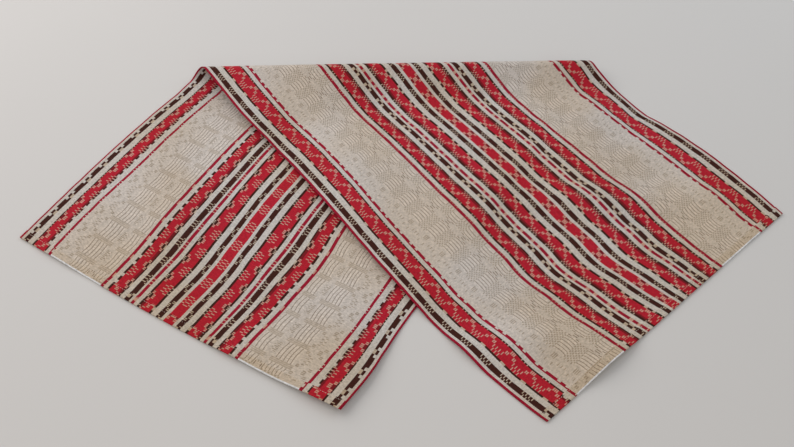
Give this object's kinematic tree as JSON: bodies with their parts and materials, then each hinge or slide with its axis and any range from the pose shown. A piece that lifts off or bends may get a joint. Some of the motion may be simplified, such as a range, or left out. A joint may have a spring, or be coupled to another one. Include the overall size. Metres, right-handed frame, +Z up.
{
  "type": "folded table runner",
  "caption": "Striped woven table runner with hemmed ends, laid flat and folded over once at a slant into two wings that cross, with a soft raised roll at the fold.",
  "frame": {"origin": "middle of the cloth's footprint, on the surface it lies on", "axes": "+X to the right along the longer side of the footprint, +Y away from the viewer towards the fold, +Z up"},
  "size_m": [0.948, 0.5764, 0.0262],
  "materials": {
    "woven_linen": "matt hand-woven cotton and linen with red and brown stripes"
  },
  "bodies": {
    "root": {"runner_cloth": "woven_linen"}
  },
  "joints": []
}
